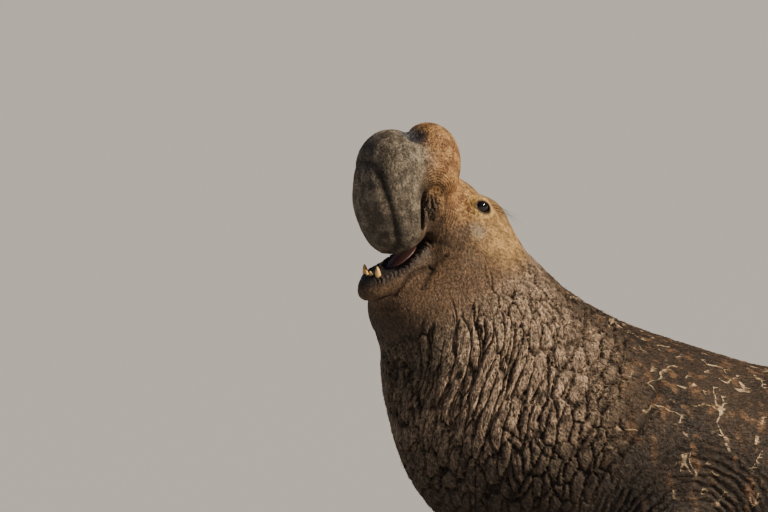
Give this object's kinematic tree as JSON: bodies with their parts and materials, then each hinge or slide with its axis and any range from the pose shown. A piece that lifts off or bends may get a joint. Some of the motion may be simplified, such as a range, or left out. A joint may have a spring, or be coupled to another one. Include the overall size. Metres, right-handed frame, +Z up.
{
  "type": "elephant seal model",
  "caption": "Life-size still model of an adult bull northern elephant seal, lying on its belly with chest reared, head thrown back, nose inflated and mouth open.",
  "frame": {"origin": "middle of the animal's outline seen from above, on the floor it lies on", "axes": "+X runs from the head to the tail, +Y to the animal's right side, +Z is up"},
  "size_m": [4.0564, 2.1846, 1.8649],
  "materials": {
    "eye": "wet, almost black",
    "tooth": "stained yellow enamel",
    "claw": "dark horn",
    "tongue": "wet, dull red",
    "nose_skin": "olive brown skin with very short hair",
    "face_skin": "golden brown skin with very short hair",
    "neck_skin": "pinkish brown, cracked and wrinkled hide",
    "chest_skin": "brown, cracked and wrinkled hide",
    "back_skin": "dark brown, short-haired hide"
  },
  "bodies": {
    "root": {"canine_left": "tooth", "canine_right": "tooth", "chest": "chest_skin", "claw_left_1": "claw", "claw_left_2": "claw", "claw_left_3": "claw", "claw_left_4": "claw", "claw_left_5": "claw", "claw_right_1": "claw", "claw_right_2": "claw", "claw_right_3": "claw", "claw_right_4": "claw", "claw_right_5": "claw", "eye_left": "eye", "eye_right": "eye", "fore_flipper_left": "back_skin", "fore_flipper_right": "back_skin", "head": "face_skin", "hind_flipper_left": "back_skin", "hind_flipper_right": "back_skin", "hindquarters": "back_skin", "incisor_left": "tooth", "incisor_right": "tooth", "lower_jaw": "neck_skin", "neck": "neck_skin", "proboscis_base": "face_skin", "proboscis_tip": "nose_skin", "tail": "back_skin", "tongue": "tongue", "trunk": "back_skin"}
  },
  "joints": []
}
